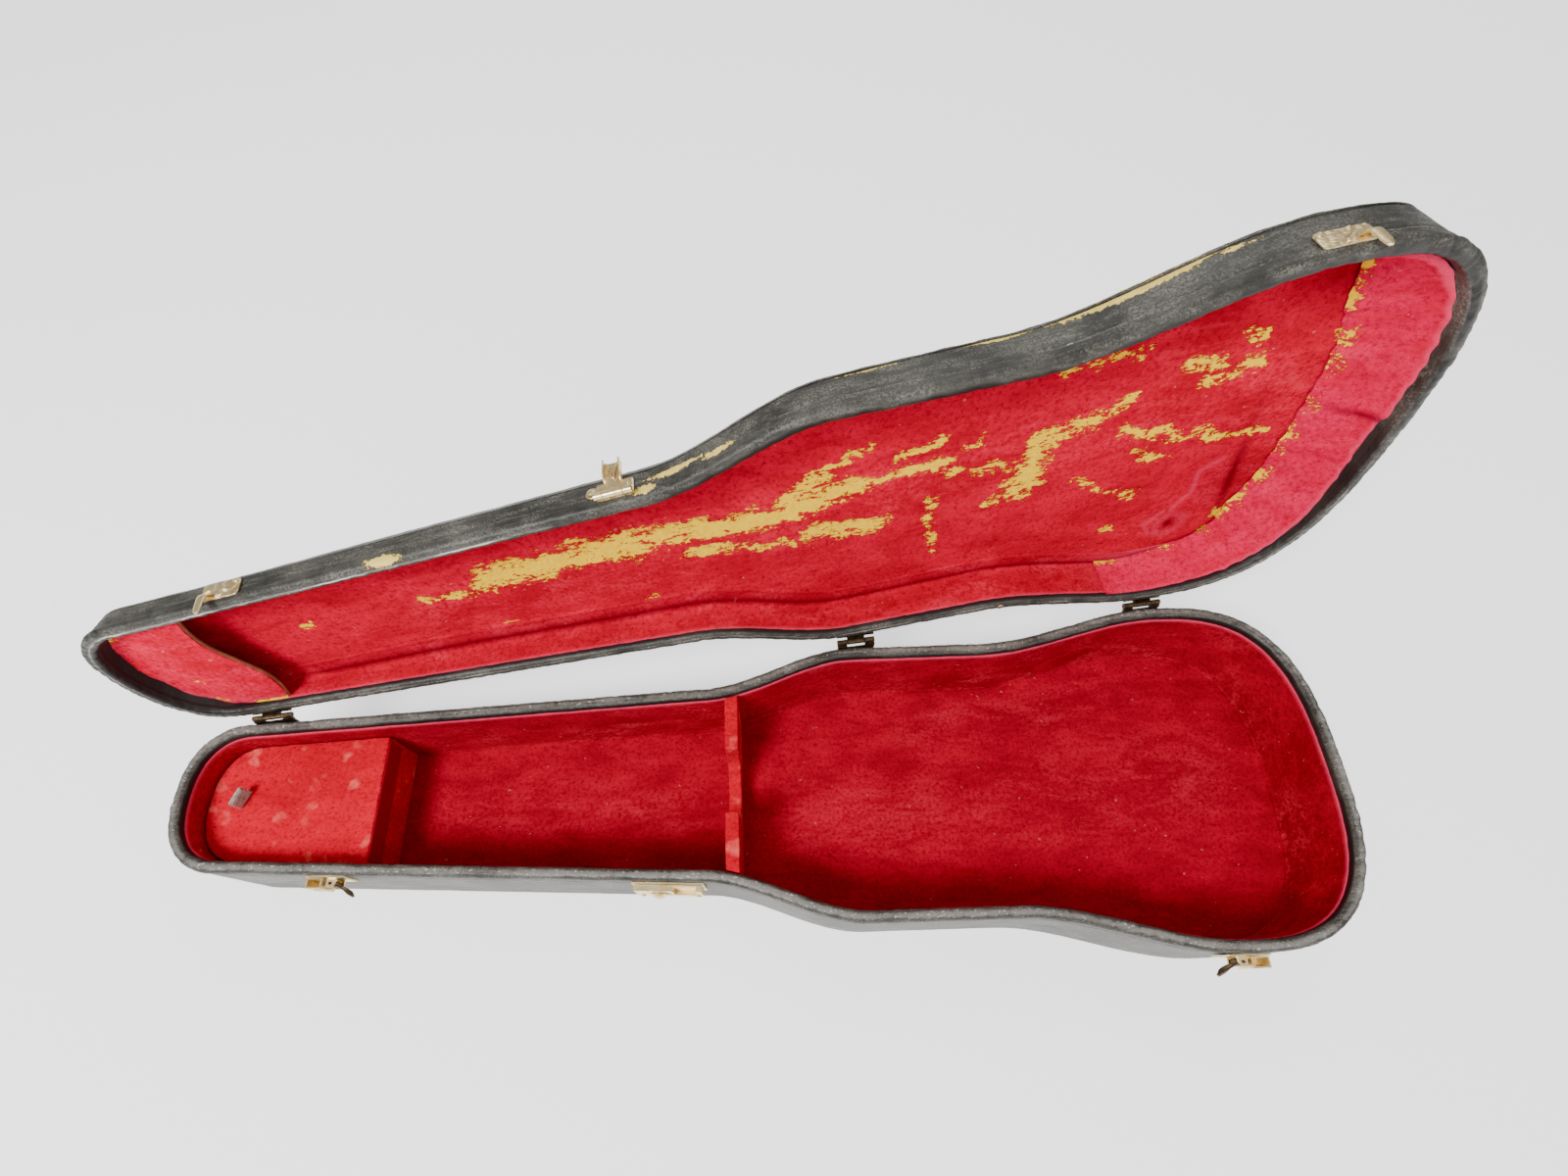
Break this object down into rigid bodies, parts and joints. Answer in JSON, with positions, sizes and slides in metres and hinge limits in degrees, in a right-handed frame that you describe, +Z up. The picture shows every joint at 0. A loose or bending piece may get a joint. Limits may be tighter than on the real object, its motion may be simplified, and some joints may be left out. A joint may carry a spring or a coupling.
{
  "type": "violin case",
  "caption": "Shaped wooden violin case, open: leathercloth outside, red felt inside, hinged lid with hasp lock, side latches, accessory box and handle.",
  "frame": {"origin": "centre of the base's underside: half way along the case, on its centre line, at the surface it stands on", "axes": "+X from the neck end to the tail end, +Y from the latches to the hinges, +Z up"},
  "size_m": [0.7696, 0.3182, 0.3101],
  "materials": {
    "leathercloth": "worn black leathercloth, pebbled, grey on its high spots",
    "wood": "bare pale board",
    "red_felt": "worn red felt",
    "brown_card": "brown fibreboard",
    "worn_brass": "worn, with rust spots",
    "dark_steel": "oxidised brown",
    "brown_leather": "worn"
  },
  "bodies": {
    "base": {"accessory_hinge_tape": "red_felt", "accessory_partition": "red_felt", "base_bottom_board": "wood", "base_bottom_covering": "leathercloth", "base_floor_lining": "red_felt", "base_rib": "wood", "base_side_covering": "leathercloth", "base_wall_lining": "red_felt", "hip_hinge_base_leaf": "worn_brass", "hip_hinge_pin": "dark_steel", "left_latch_housing": "worn_brass", "left_latch_pin": "dark_steel", "left_latch_plate": "worn_brass", "left_lock_rivet": "worn_brass", "lock_box": "worn_brass", "lock_plate": "worn_brass", "neck_hinge_base_leaf": "worn_brass", "neck_hinge_pin": "dark_steel", "neck_partition": "red_felt", "right_latch_housing": "worn_brass", "right_latch_pin": "dark_steel", "right_latch_plate": "worn_brass", "right_lock_rivet": "worn_brass", "shoulder_hinge_base_leaf": "worn_brass", "shoulder_hinge_pin": "dark_steel"},
    "lid": {"lid_top_board": "wood", "lid_top_covering": "leathercloth", "lid_side_covering": "leathercloth", "lid_rib": "wood", "lid_top_lining": "red_felt", "lid_wall_lining": "red_felt", "neck_hinge_lid_leaf": "worn_brass", "shoulder_hinge_lid_leaf": "worn_brass", "hip_hinge_lid_leaf": "worn_brass", "left_catch_plate": "worn_brass", "right_catch_plate": "worn_brass", "hasp_plate": "worn_brass", "hasp_pin": "dark_steel", "lid_pocket_board": "brown_card", "bow_eyelet": "worn_brass", "rim_tack": "worn_brass", "left_handle_bracket": "dark_steel", "right_handle_bracket": "dark_steel", "left_catch_rivet": "worn_brass", "right_catch_rivet": "worn_brass", "hasp_rivet": "worn_brass", "left_handle_outer_screw": "dark_steel", "left_handle_inner_screw": "dark_steel", "right_handle_outer_screw": "dark_steel", "right_handle_inner_screw": "dark_steel"},
    "left_lever": {"left_latch_lever": "dark_steel"},
    "right_lever": {"right_latch_lever": "dark_steel"},
    "knob": {"lock_knob": "worn_brass"},
    "hasp": {"lock_hasp": "worn_brass"},
    "accessory_lid": {"accessory_lid": "red_felt", "accessory_pull_tab": "brown_leather"},
    "handle": {"handle_bail": "dark_steel", "handle_grip": "brown_leather"}
  },
  "joints": [
    {"name": "lid_hinge", "type": "hinge", "parent": "base", "child": "lid", "pos_m": [0, 0.08879, 0.0706], "axis": [0.9944, 0.1059, 0], "range_deg": [0, 97]},
    {"name": "left_lever_pivot", "type": "hinge", "parent": "base", "child": "left_lever", "pos_m": [-0.26762, -0.05789, 0.07], "axis": [0, 0, 1], "range_deg": [-45, 20]},
    {"name": "right_lever_pivot", "type": "hinge", "parent": "base", "child": "right_lever", "pos_m": [0.2854, -0.1204, 0.07], "axis": [0, 0, -1], "range_deg": [-45, 20]},
    {"name": "knob_slide", "type": "slide", "parent": "base", "child": "knob", "axis": [0.9988, -0.0494, 0], "range_m": [0, 0.004], "stiffness_N_per_m": 150},
    {"name": "hasp_hinge", "type": "hinge", "parent": "lid", "child": "hasp", "pos_m": [-0.06278, 0.10498, 0.22139], "axis": [0.9804, 0.1234, 0.1538], "range_deg": [0, 178]},
    {"name": "accessory_lid_hinge", "type": "hinge", "parent": "base", "child": "accessory_lid", "pos_m": [-0.255, 0, 0.05], "axis": [0, -1, 0], "range_deg": [-100, 0]},
    {"name": "handle_swing", "type": "hinge", "parent": "lid", "child": "handle", "pos_m": [-0.00103, 0.1505, 0.15361], "axis": [0.9874, 0.1181, 0.1051], "range_deg": [-5, 168]}
  ]
}
